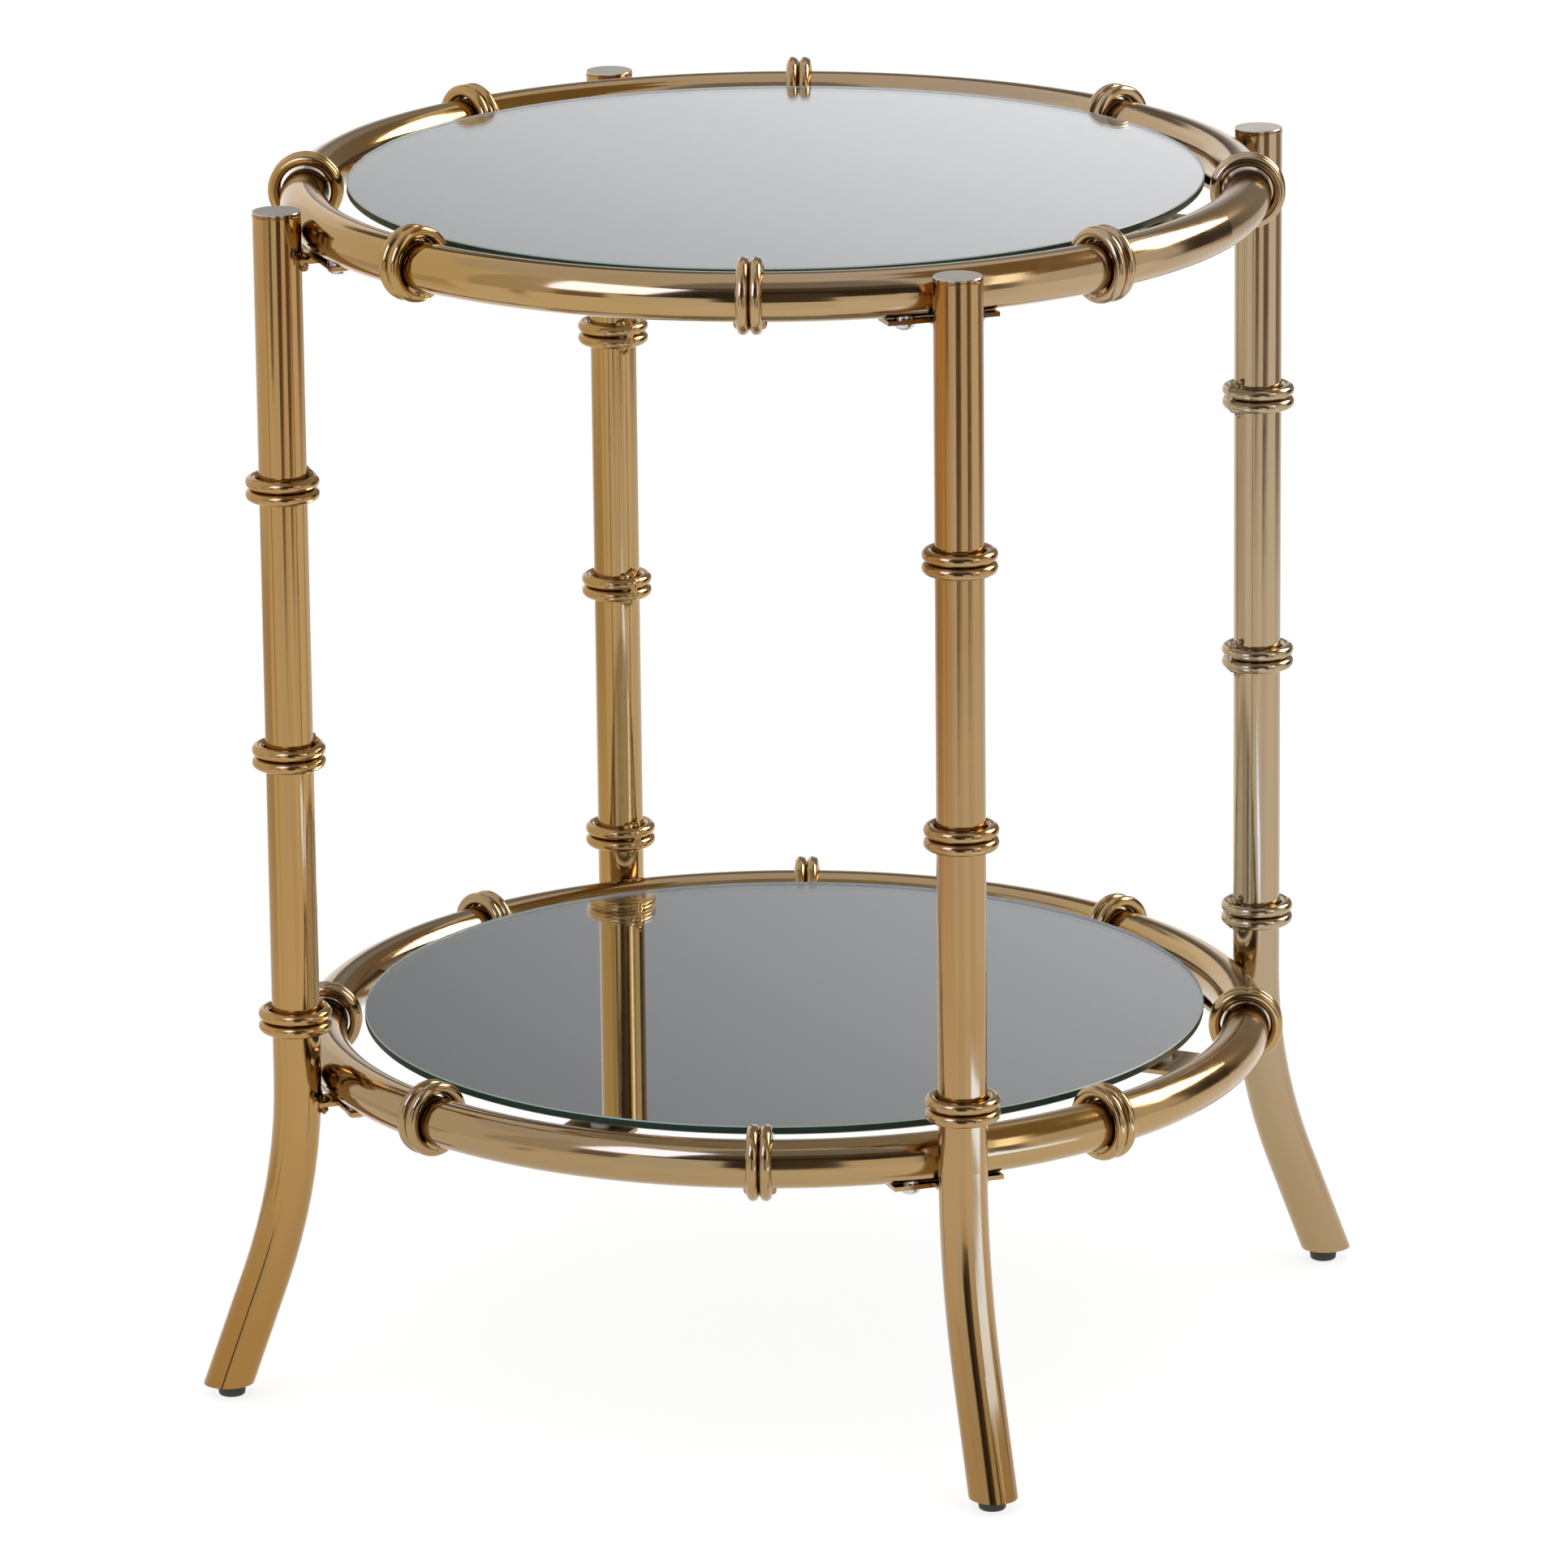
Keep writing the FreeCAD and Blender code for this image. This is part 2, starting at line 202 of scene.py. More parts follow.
def weld_toe(mesh, middle, along, out, rough, width=46, height=4.4, spread=4.2, root=RING_HALF_PITCH + 1.5):
    """Adds one run-out of a weld to mesh: a concave fillet from the tube up to the ring or plate on it.
    middle is the point on the tube's axis, along points down the tube, out points at the weld, width is the
    turn to each side in degrees, root is how far along the tube the fillet stands highest. Sizes in mm."""
    side = along.cross(out)
    # the fillet starts just under the tube's skin; its hidden back lies deeper, under the ring or plate
    skin, core, back = 10.8, 10.2, 1.8
    rows, steps = 22, 11
    rings = []
    for i in range(rows + 1):
        share = 2 * i / rows - 1
        turn = math.radians(width) * share
        swell = max(math.cos(math.pi / 2 * share), 0.0) ** 0.8
        # a curve from the tube's skin up to the ring or plate, hollow in between
        start = Vector((root + 0.2 + spread * swell, skin))
        bend = Vector((root + 0.8 + 0.9 * swell, skin + 0.05 + 0.4 * swell))
        end = Vector((root, skin + height * swell))
        section = []
        for j in range(steps + 1):
            t = j / steps
            section.append(start * (1 - t) ** 2 + bend * 2 * t * (1 - t) + end * t ** 2)
        section += [Vector((root - back, skin + height * 0.9 * swell)), Vector((root - back, core))]
        ring = []
        for j, (run, rise) in enumerate(section):
            spoke = out * math.cos(turn) + side * math.sin(turn)
            spot = middle * 1000 + along * run + spoke * rise
            if 0 < j <= steps:
                # lumps about 2 mm and 0.8 mm across
                lump = noise.noise(spot * 0.55) + 0.6 * noise.noise(spot * 1.3)
                spot = spot + spoke * (rough * lump * swell) + along * (rough * 0.5 * lump * swell)
            ring.append(mesh.verts.new(spot / 1000))
        rings.append(ring)
    count = len(rings[0])
    for low, high in zip(rings, rings[1:]):
        for j in range(count):
            k = (j + 1) % count
            mesh.faces.new((low[j], low[k], high[k], high[j]))
    mesh.faces.new(rings[0][::-1])
    mesh.faces.new(rings[-1])


def finish_piece(name, mesh, material, body, smooth_angle=math.radians(50)):
    """Turns a bmesh into a piece of the table that rides on a body. material is one or a tuple of them."""
    data = bpy.data.meshes.new(name)
    mesh.to_mesh(data)
    mesh.free()
    data.polygons.foreach_set("use_smooth", [True] * len(data.polygons))
    data.set_sharp_from_angle(angle=smooth_angle)
    for one in material if isinstance(material, tuple) else (material,):
        data.materials.append(one)
    piece = bpy.data.objects.new(name, data)
    bpy.context.scene.collection.objects.link(piece)
    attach(piece, body)
    return piece


UP = Vector((0, 0, 1))
hoop_weld_metal = weld_metal("plated_weld_hoop", "#AE9066", "#4A3418")
for tier, level in LEVELS.items():
    welds = bmesh.new()
    for angle in COLLAR_ANGLES:
        radial = Vector((math.cos(angle), math.sin(angle), 0))
        tangent = Vector((-math.sin(angle), math.cos(angle), 0))
        middle = radial * HOOP_RADIUS + UP * level
        for way in (tangent, -tangent):
            # each run-out has its own length
            uneven = noise.noise(middle * 37 + way * 5)
            weld_toe(welds, middle, way, -UP, 0.15, height=4.9, spread=3.6 + 2.0 * uneven)
    finish_piece(tier + "_hoop_welds", welds, hoop_weld_metal, "frame")


# The legs: the same 22 mm tube, straight past both hoops and then bent outwards to the floor.
# Each is plated on its own, so their tones differ; part of each leg's tones is a painted reflection of the
# room round it. A flat cap is welded in its top and a plug closes its foot end.

# distance of the legs' axes from the table's middle and height of the tubes' tops, in metres
LEG_RADIUS, LEG_TOP = 0.2368, 0.553
LEG_ANGLES = {"front_right": -45, "back_right": 45, "back_left": 135, "front_left": 225}
# each leg's tones are partly its plating and partly a painted reflection of the room round it
# brass and champagne tone, the drift's span by facing, the heights where champagne takes over downwards,
# roughness, and the tint of the flared end
LEG_TONES = {
    "front_right": ("#9B6728", "#AA8B60", (-0.65, -0.15), (0.12, 0.5), 0.13, "#E8DAC0"),
    "back_right": ("#AC9775", "#AE997C", (-0.9, 0.9), None, 0.12, "#F4ECDD"),
    "back_left": ("#A68148", "#AF9062", (-0.8, 0.4), None, 0.12, "#ECE0C8"),
    "front_left": ("#A98450", "#AD8A58", (-0.9, 0.9), None, 0.09, "#ECE0C8"),
}
# the flared ends are tinted between these heights, a painted darker reflection
FLARE_LOW, FLARE_HIGH = 0.03, 0.14
for corner, (brass, champagne, span, heights, roughness, end_tint) in LEG_TONES.items():
    angle = math.radians(LEG_ANGLES[corner])
    across = (-math.sin(angle), math.cos(angle), 0.0)
    dress(gold_plating(f"gold_plating_{corner}_leg", brass, champagne, span, True, heights, across, roughness,
                       warm_end=(FLARE_LOW, FLARE_HIGH, end_tint)),
          corner + "_leg")

# A cap's face is pale and its rim, below 553.6 mm, is as brown as the seam. All caps have the same tone, so
# the drift is set beyond the table.
CAP_RIM, CAP_FACE, PAST_THE_TABLE = 0.5536, 0.5543, (5.0, 6.0)
dress(gold_plating("gold_plating_caps", "#BFB4A2", "#8E6A42", PAST_THE_TABLE, heights=(CAP_RIM, CAP_FACE),
                   roughness=0.15),
      "leg_caps")

# The seam where a cap is welded in is ground down but stays uneven, and its heat stains the plating reddish
# brown. Sizes in mm.
SEAM_RADIUS, SEAM_SINK, SEAM_STEPS, SEAM_SIDES = 10.85, 0.35, 144, 10
seam_metal = weld_metal("plated_weld_seam", "#8A5A34", "#3A2210")
seams = bmesh.new()
for degrees in LEG_ANGLES.values():
    angle = math.radians(degrees)
    centre = Vector((math.cos(angle), math.sin(angle), 0)) * LEG_RADIUS * 1000 + UP * LEG_TOP * 1000
    rings = []
    for i in range(SEAM_STEPS):
        turn = 2 * math.pi * i / SEAM_STEPS
        spoke = Vector((math.cos(turn), math.sin(turn), 0))
        spot = centre + spoke * 11
        # the bead is thicker and thinner in stretches about 5 mm and 1.4 mm long
        lump = noise.noise(spot * 0.22) + 0.5 * noise.noise(spot * 0.7)
        bead = 0.24 + 0.3 * max(lump, -0.4)
        ring = []
        for j in range(SEAM_SIDES):
            roll = 2 * math.pi * j / SEAM_SIDES
            out = SEAM_RADIUS + bead * math.cos(roll)
            rise = bead * 1.2 * math.sin(roll) - SEAM_SINK
            ring.append(seams.verts.new((centre + spoke * out + UP * rise) / 1000))
        rings.append(ring)
    for low, high in zip(rings, rings[1:] + rings[:1]):
        for j in range(SEAM_SIDES):
            k = (j + 1) % SEAM_SIDES
            seams.faces.new((low[j], high[j], high[k], low[k]))
finish_piece("leg_cap_seams", seams, seam_metal, "frame")


# The leg collars: three pairs of the same wire rings on each leg between the tiers, for ornament.
# They are welded on the side that faces the middle of the table: rough knobs above, a flat run of weld
# metal across both rings and a smoother run-out below.

# heights of the collars' middles, in metres
COLLAR_LEVELS = {"low": 0.177, "middle": 0.3021, "high": 0.4272}
WELD_TONES = {"front_right": "#A98650", "back_right": "#AA9270", "back_left": "#A9834A",
              "front_left": "#AC8A56"}
# the welder worked from one side, so the weld sits a little off the line to the middle, in degrees
WELD_TURN = 13
# knobs beside the rings: turn about the leg in degrees, height from the collar's middle and radius in mm,
# and how deep the arc left a crater in the knob
WELD_KNOBS = [(18, 6.2, 2.3, 0.0), (25, 8.2, 1.4, 0.0), (6, 5.6, 1.9, 0.0), (-5, 5.0, 1.5, 0.0),
              (9, -7.2, 2.3, 0.8), (17, -9.6, 0.9, 0.5), (3, -10.0, 0.6, 0.0)]
# how far the knobs above and below the rings lie from the leg's axis, in mm
KNOB_REACH_ABOVE, KNOB_REACH_BELOW = 11.8, 10.4


def outwards(degrees):
    """The level direction at an angle about the table's middle."""
    return Matrix.Rotation(math.radians(degrees), 3, "Z") @ Vector((1, 0, 0))


def weld_knob(mesh, centre, radius, rough, out=None, crater=0.0):
    """Adds one knob of weld metal to mesh: a ball pushed out of round, with a crater in the side towards out.
    Sizes in mm."""
    for vert in bmesh.ops.create_icosphere(mesh, subdivisions=4, radius=1.0)["verts"]:
        spoke = vert.co.normalized()
        spot = centre + spoke * radius
        # lumps about 1.4 mm and 0.6 mm across
        lump = noise.noise(spot * 0.7) + 0.5 * noise.noise(spot * 1.7)
        reach = radius * (1 + rough * lump)
        if crater:
            # the crater starts 57 degrees from its middle and is deepest within 26 degrees of it
            facing = min(max((spoke.dot(out) - 0.55) / 0.35, 0.0), 1.0)
            reach *= 1 - crater * facing * facing * (3 - 2 * facing)
        vert.co = (centre + spoke * reach) / 1000


def weld_band(mesh, middle, out, half_width=2.4):
    """Adds the flat run of weld metal that crosses both rings of a collar and fills the groove between them.
    Its faces take the piece's second material. Sizes in mm."""
    # radius of the rings' middle line and of their wire, and how thick the weld covers them
    ring, wire, cover = 14.1, 2.75, 0.35
    # half the band's height, its inner face, the groove left between the rings and how deep its edges sink
    tall, inner, groove, sink = RING_HALF_PITCH + 2.3, 12.8, 0.4, 0.3
    # the rings hang 0.25 mm off the leg's axis, on the side away from the weld
    foot = middle * 1000 - out * 0.25
    side = UP.cross(out)
    rows, steps = 12, 28
    loops = []
    for i in range(rows + 1):
        share = 2 * i / rows - 1
        turn = share * half_width / (ring + wire)
        spoke = out * math.cos(turn) + side * math.sin(turn)
        loop = []
        for j in range(steps + 1):
            height = (2 * j / steps - 1) * tall
            off = abs(height) - RING_HALF_PITCH
            bare = ring + math.sqrt(max(wire ** 2 - off ** 2, 0.0))
            if off > 0:
                full = ring + math.sqrt((wire + cover) ** 2 - off ** 2)
            else:
                full = ring + wire + cover - groove * math.cos(math.pi / 2 * height / RING_HALF_PITCH)
            reach = bare - sink + (full - bare + sink) * (1 - share ** 4)
            spot = foot + spoke * reach + UP * height
            # waves up to 0.15 mm high and about 1.2 mm across
            loop.append(mesh.verts.new((spot + spoke * 0.15 * noise.noise(spot * 0.8)) / 1000))
        for height in (tall, -tall):
            loop.append(mesh.verts.new((foot + spoke * inner + UP * height) / 1000))
        loops.append(loop)
    count = len(loops[0])
    made = [mesh.faces.new(loops[0]), mesh.faces.new(loops[-1][::-1])]
    for low, high in zip(loops, loops[1:]):
        for j in range(count):
            k = (j + 1) % count
            made.append(mesh.faces.new((low[j], high[j], high[k], low[k])))
    for face in made:
        face.material_index = 1


for corner, degrees in LEG_ANGLES.items():
    brass, champagne, span, heights = LEG_TONES[corner][:4]
    ring_finish = gold_plating(f"gold_plating_{corner}_leg_rings", brass, champagne, span, True, heights,
                               roughness=0.15)
    dress(ring_finish, *[f"{corner}_leg_collar_{place}" for place in COLLAR_LEVELS])
    out = outwards(degrees + 180 + WELD_TURN)
    welds = bmesh.new()
    for level in COLLAR_LEVELS.values():
        middle = outwards(degrees) * LEG_RADIUS + UP * level
        weld_toe(welds, middle, UP, out, 0.3, width=26, height=3.6, spread=2.6)
        weld_toe(welds, middle, -UP, out, 0.2, width=36, height=4.2, spread=4.4)
        weld_band(welds, middle, out)
        for turn, rise, radius, crater in WELD_KNOBS:
            spoke = outwards(degrees + 180 + turn)
            reach = KNOB_REACH_ABOVE if rise > 0 else KNOB_REACH_BELOW
            weld_knob(welds, middle * 1000 + spoke * reach + UP * rise, radius, 0.3, spoke, crater)
    leg_weld_metal = weld_metal("plated_weld_" + corner, WELD_TONES[corner], "#3E2A14")
    finish_piece(corner + "_leg_welds", welds, (leg_weld_metal, ring_finish), "frame")


# The brackets and tabs: 2 mm steel plate. A bracket lies under each hoop at each leg and is screwed up into
# the tube; a tab is welded inside the hoop under the mirror. Both are plated with the rest.

PLATE_TONES = ("#A8834C", "#AC9068")
bracket_finish = gold_plating("gold_plating_brackets", *PLATE_TONES, HOOP_SPAN, roughness=0.14)
tab_finish = gold_plating("gold_plating_tabs", *PLATE_TONES, HOOP_SPAN, roughness=0.3)
for tier in LEVELS:
    dress(bracket_finish, *[f"{tier}_{corner}_bracket" for corner in LEG_ANGLES])
    dress(tab_finish, tier + "_mirror_tabs")

# The bracket's neck is welded to its leg above and below; the bead is left rough and its heat browns the
# plating. The plate's faces lie this far under the middle of the hoop, in metres.
PLATE_TOP, PLATE_UNDERSIDE = 0.0114, 0.0134
# lumps on the bead: turn about the leg in degrees, height from the plate's underside and radius in mm, all
# at the same distance from the leg's axis
BRACKET_LUMPS = [(-27, -1.0, 2.0), (-12, -2.6, 1.7), (8, -2.0, 2.2), (26, -0.8, 1.8), (-20, 3.4, 1.6),
                 (19, 3.6, 1.8)]
LUMP_REACH = 12.0
bracket_weld_metal = weld_metal("plated_weld_bracket", "#96704A", "#3A2414")
for tier, level in LEVELS.items():
    welds = bmesh.new()
    for degrees in LEG_ANGLES.values():
        radial = outwards(degrees)
        above = radial * LEG_RADIUS + UP * (level - PLATE_TOP)
        below = radial * LEG_RADIUS + UP * (level - PLATE_UNDERSIDE)
        for middle, way in ((above, UP), (below, -UP)):
            weld_toe(welds, middle, way, -radial, 0.5, width=40, height=4.6, spread=4.0, root=0.0)
        for turn, rise, radius in BRACKET_LUMPS:
            spoke = outwards(degrees + 180 + turn)
            weld_knob(welds, below * 1000 + spoke * LUMP_REACH + UP * rise, radius, 0.35)
    finish_piece(tier + "_bracket_welds", welds, bracket_weld_metal, "frame")


# The screws and rivet nuts: two pan-head screws to a bracket, each run up into a rivet nut in the hoop.
# All are of steel in bright zinc plating; only heads and flanges show.

def zinc_plating(name):
    """Bright zinc: a cool silver shine, a little cloudy, with fine crystal grain."""
    material, tree = new_tree(name)
    spot = add(tree, "ShaderNodeTexCoord").outputs["Object"]
    # crystal grain is about 0.05 mm; drawn 0.4 mm across so that it shows, in clouds 3 mm across
    grain = add(tree, "ShaderNodeTexNoise", {"Vector": spot, "Scale": 1 / 0.0004,
                                             "Detail": 2.0}).outputs["Fac"]
    cloud = add(tree, "ShaderNodeTexNoise", {"Vector": spot, "Scale": 1 / 0.003,
                                             "Detail": 3.0}).outputs["Fac"]
    colour = add(tree, "ShaderNodeMix", {0: cloud, 6: linear("#B9BBBE"), 7: linear("#DADAD8")},
                 data_type="RGBA").outputs[2]
    shine = add(tree, "ShaderNodeMapRange", {"Value": grain, "To Min": 0.14, "To Max": 0.3})
    relief = add(tree, "ShaderNodeBump", {"Height": grain, "Distance": 0.00002, "Strength": 0.4})
    metal = add(tree, "ShaderNodeBsdfPrincipled", {"Base Color": colour, "Metallic": 1.0,
                                                   "Roughness": shine.outputs["Result"],
                                                   "Normal": relief.outputs["Normal"]})
    add(tree, "ShaderNodeOutputMaterial", {"Surface": metal.outputs["BSDF"]})
    return material


zinc = zinc_plating("zinc_plating")
for tier in LEVELS:
    dress(zinc, tier + "_bracket_screws", tier + "_rivet_nuts")


# The feet: small turned plugs of black rubber pressed into the leg ends.
# Inside each leg a plug of black plastic holds its foot.

def black_moulding(name, dark, dusty, roughness, grit):
    """Black rubber or plastic: dull, slightly brown, with dust worn pale into its fine moulded grit.
    grit is the grain's size in metres."""
    material, tree = new_tree(name)
    spot = add(tree, "ShaderNodeTexCoord").outputs["Object"]
    speck = add(tree, "ShaderNodeTexNoise", {"Vector": spot, "Scale": 1 / grit, "Detail": 3.0}).outputs["Fac"]
    height = add(tree, "ShaderNodeSeparateXYZ", {"Vector": spot}).outputs["Z"]
    # dust gathers on the lowest 3 mm
    worn = add(tree, "ShaderNodeMapRange", {"Value": height, "From Min": 0.0, "From Max": 0.003,
                                            "To Min": 0.6, "To Max": 0.15}).outputs["Result"]
    dust = add(tree, "ShaderNodeMath", {0: worn, 1: speck}, operation="MULTIPLY").outputs["Value"]
    colour = add(tree, "ShaderNodeMix", {0: dust, 6: linear(dark), 7: linear(dusty)},
                 data_type="RGBA").outputs[2]
    shine = add(tree, "ShaderNodeMapRange", {"Value": speck, "To Min": roughness * 0.85,
                                             "To Max": roughness * 1.15})
    relief = add(tree, "ShaderNodeBump", {"Height": speck, "Distance": 0.0001, "Strength": 0.4})
    surface = add(tree, "ShaderNodeBsdfPrincipled", {"Base Color": colour, "IOR": 1.52,
                                                     "Roughness": shine.outputs["Result"],
                                                     "Normal": relief.outputs["Normal"]})
    add(tree, "ShaderNodeOutputMaterial", {"Surface": surface.outputs["BSDF"]})
    return material


dress(black_moulding("black_rubber", "#28221F", "#6A625A", 0.6, 0.0006),
      *[corner + "_foot" for corner in LEG_ANGLES])
dress(black_moulding("black_plastic", "#1E1C1B", "#4A4642", 0.45, 0.0004), "leg_end_plugs")


# The pads: soft clear vinyl buttons stuck on the tabs.
# The mirrors lie on them and touch no metal.

def clear_vinyl(name):
    """Soft clear vinyl: milky and half see-through, with tiny bubbles."""
    material, tree = new_tree(name)
    spot = add(tree, "ShaderNodeTexCoord").outputs["Object"]
    # bubbles are about 0.1 mm; drawn 0.5 mm across so that they show
    haze = add(tree, "ShaderNodeTexNoise", {"Vector": spot, "Scale": 1 / 0.0005,
                                            "Detail": 2.0}).outputs["Fac"]
    colour = add(tree, "ShaderNodeMix", {0: haze, 6: linear("#C4C6C4"), 7: linear("#E2E4E2")},
                 data_type="RGBA").outputs[2]
    shine = add(tree, "ShaderNodeMapRange", {"Value": haze, "To Min": 0.25, "To Max": 0.45})
    relief = add(tree, "ShaderNodeBump", {"Height": haze, "Distance": 0.00005, "Strength": 0.3})
    surface = add(tree, "ShaderNodeBsdfPrincipled", {"Base Color": colour, "IOR": 1.53,
                                                     "Roughness": shine.outputs["Result"],
                                                     "Normal": relief.outputs["Normal"],
                                                     "Transmission Weight": 0.5})
    add(tree, "ShaderNodeOutputMaterial", {"Surface": surface.outputs["BSDF"]})
    return material


vinyl = clear_vinyl("clear_vinyl")
for tier in LEVELS:
    dress(vinyl, tier + "_mirror_pads")


# The mirrors: round 4 mm float glass, silvered and painted on the underside, with a ground edge and its sharp
# corners taken off. They lie loose on the pads and lift out. Sizes in mm.

MIRROR_RADIUS, MIRROR_THICKNESS, EDGE_BREAK, PAINT = 195.0, 4.0, 0.5, 0.1
MIRROR_BOTTOMS = {"upper": 548.1, "lower": 155.6}
MIRROR_CREASE = math.radians(20)
# the paint ends this far inside the glass's rim, with a rounded lower edge, and a hair below the silver
PAINT_MARGIN, PAINT_ROUND, PAINT_ROUND_HEIGHT, PAINT_GAP = 0.7, 0.2, 0.04, 0.02


def float_glass(name, low, high, dimple):
    """Float glass: clear and flat, its greenish body seen only where the eye looks along it.
    low and high are its least and greatest roughness, dimple is the size of the smears in metres."""
    material, tree = new_tree(name)
    spot = add(tree, "ShaderNodeTexCoord").outputs["Object"]
    speck = add(tree, "ShaderNodeTexNoise", {"Vector": spot, "Scale": 1 / dimple,
                                             "Detail": 2.0}).outputs["Fac"]
    shine = add(tree, "ShaderNodeMapRange", {"Value": speck, "From Min": 0.35, "From Max": 0.65,
                                             "To Min": low, "To Max": high}).outputs["Result"]
    glass = add(tree, "ShaderNodeBsdfPrincipled", {"Base Color": linear("#FAFCFB"), "Roughness": shine,
                                                   "IOR": 1.52, "Transmission Weight": 1.0})
    body = add(tree, "ShaderNodeVolumeAbsorption", {"Color": linear("#4FB08E"), "Density": 4.0})
    add(tree, "ShaderNodeOutputMaterial", {"Surface": glass.outputs["BSDF"],
                                           "Volume": body.outputs["Volume"]})
    return material


def ground_glass(name, outside, inside, roughness):
    """Ground glass: dull from outside, and pale when seen through the face. Its colour from outside is
    painted:
    dark green stands for the dim light that comes back through the green depth of the glass, a paler tone for
    a highlight."""
    material, tree = new_tree(name)
    spot = add(tree, "ShaderNodeTexCoord").outputs["Object"]
    # the wheel leaves a grain of about 0.1 mm; drawn 0.8 mm across so that it shows
    grain = add(tree, "ShaderNodeTexNoise", {"Vector": spot, "Scale": 1 / 0.0008,
                                             "Detail": 2.0}).outputs["Fac"]
    behind = add(tree, "ShaderNodeNewGeometry").outputs["Backfacing"]
    # the colour seen from outside is painted light: painted shade on the edge, a painted highlight on the
    # arrises
    base = add(tree, "ShaderNodeMix", {0: behind, 6: linear(outside), 7: linear(inside)},
               data_type="RGBA").outputs[2]
    tone = add(tree, "ShaderNodeMapRange", {"Value": grain, "To Min": 0.85, "To Max": 1.15}).outputs["Result"]
    colour = add(tree, "ShaderNodeVectorMath", {0: base, 1: tone}, operation="MULTIPLY").outputs["Vector"]
    shine = add(tree, "ShaderNodeMapRange", {"Value": grain, "To Min": roughness * 0.8,
                                             "To Max": roughness * 1.2}).outputs["Result"]
    surface = add(tree, "ShaderNodeBsdfPrincipled", {"Base Color": colour, "Roughness": shine, "IOR": 1.52})
    add(tree, "ShaderNodeOutputMaterial", {"Surface": surface.outputs["BSDF"]})
    return material


def silvering(name):
    """Chemically deposited silver behind glass: a neutral mirror, faintly uneven."""
    material, tree = new_tree(name)
    spot = add(tree, "ShaderNodeTexCoord").outputs["Object"]
    # the deposit is uneven in patches about 40 mm across
    patch = add(tree, "ShaderNodeTexNoise", {"Vector": spot, "Scale": 1 / 0.04, "Detail": 2.0}).outputs["Fac"]
    colour = add(tree, "ShaderNodeMix", {0: patch, 6: linear("#F0F1F1"), 7: linear("#F3F3F2")},
                 data_type="RGBA").outputs[2]
    metal = add(tree, "ShaderNodeBsdfPrincipled", {"Base Color": colour, "Metallic": 1.0, "Roughness": 0.0})
    add(tree, "ShaderNodeOutputMaterial", {"Surface": metal.outputs["BSDF"]})
    return material


def backing_paint(name):
    """Pale protective paint on a mirror's back: flat, with the fine orange peel of a curtain coat."""
    material, tree = new_tree(name)
    spot = add(tree, "ShaderNodeTexCoord").outputs["Object"]
    # orange peel about 1.5 mm across
    peel = add(tree, "ShaderNodeTexNoise", {"Vector": spot, "Scale": 1 / 0.0015,
                                            "Detail": 2.0}).outputs["Fac"]
    colour = add(tree, "ShaderNodeMix", {0: peel, 6: linear("#C6CAC8"), 7: linear("#D2D6D4")},
                 data_type="RGBA").outputs[2]
    relief = add(tree, "ShaderNodeBump", {"Height": peel, "Distance": 0.00003, "Strength": 0.5})
    surface = add(tree, "ShaderNodeBsdfPrincipled", {"Base Color": colour, "Roughness": 0.5,
                                                     "Normal": relief.outputs["Normal"]})
    add(tree, "ShaderNodeOutputMaterial", {"Surface": surface.outputs["BSDF"]})
    return material


def lathe(profile, bands, segments=360):
    """A closed turned shape about the table's middle. profile is (radius, height) in mm from the bottom's
    centre to the top's, bands is the material number of each stretch of it."""
    mesh = bmesh.new()
    rings = []
    for radius, height in profile:
        if radius == 0:
            rings.append([mesh.verts.new((0, 0, height / 1000))] * segments)
        else:
            turns = [2 * math.pi * i / segments for i in range(segments)]
            rings.append([mesh.verts.new((radius / 1000 * math.cos(turn), radius / 1000 * math.sin(turn),
                                          height / 1000)) for turn in turns])
    for low, high, band in zip(rings, rings[1:], bands):
        for i in range(segments):
            k = (i + 1) % segments
            corners = list(dict.fromkeys((low[i], low[k], high[k], high[i])))
            mesh.faces.new(corners).material_index = band
    return mesh


clear_face = float_glass("float_glass_face", 0.0, 0.004, 0.03)
# painted from outside: the edge's dark green is painted shade from the glass's green depth, the arrises'
# paler tone a painted highlight
ground_edge = ground_glass("float_glass_ground_edge", "#20382F", "#C8CECB", 0.35)
arris_painted_highlight = ground_glass("float_glass_arris_painted_highlight", "#8FA69C", "#C8CECB", 0.45)
silver = silvering("mirror_silvering")
paint = backing_paint("mirror_backing_paint")
for tier, bottom in MIRROR_BOTTOMS.items():
    top, silvered = bottom + MIRROR_THICKNESS, bottom + PAINT
    glass = lathe([(0, silvered), (MIRROR_RADIUS - EDGE_BREAK, silvered),
                   (MIRROR_RADIUS, silvered + EDGE_BREAK), (MIRROR_RADIUS, top - EDGE_BREAK),
                   (MIRROR_RADIUS - EDGE_BREAK, top), (0, top)], (2, 3, 1, 3, 0))
    piece = finish_piece(tier + "_mirror_glass", glass, (clear_face, ground_edge, silver, arris_painted_highlight),
                         tier + "_glass", MIRROR_CREASE)
    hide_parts(tier + "_mirror")
    rim, coated = MIRROR_RADIUS - PAINT_MARGIN, silvered - PAINT_GAP
    coat = lathe([(0, bottom), (rim - PAINT_ROUND, bottom), (rim, bottom + PAINT_ROUND_HEIGHT),
                  (rim, coated), (0, coated)], (0, 0, 0, 0))
    finish_piece(tier + "_mirror_paint", coat, paint, tier + "_glass", MIRROR_CREASE)


# The studio: a white floor with the table's faint shadow, and boards, walls and soft boxes round it that the
# polished metal mirrors. Azimuths are measured at the table's middle from the camera's side, to the right.

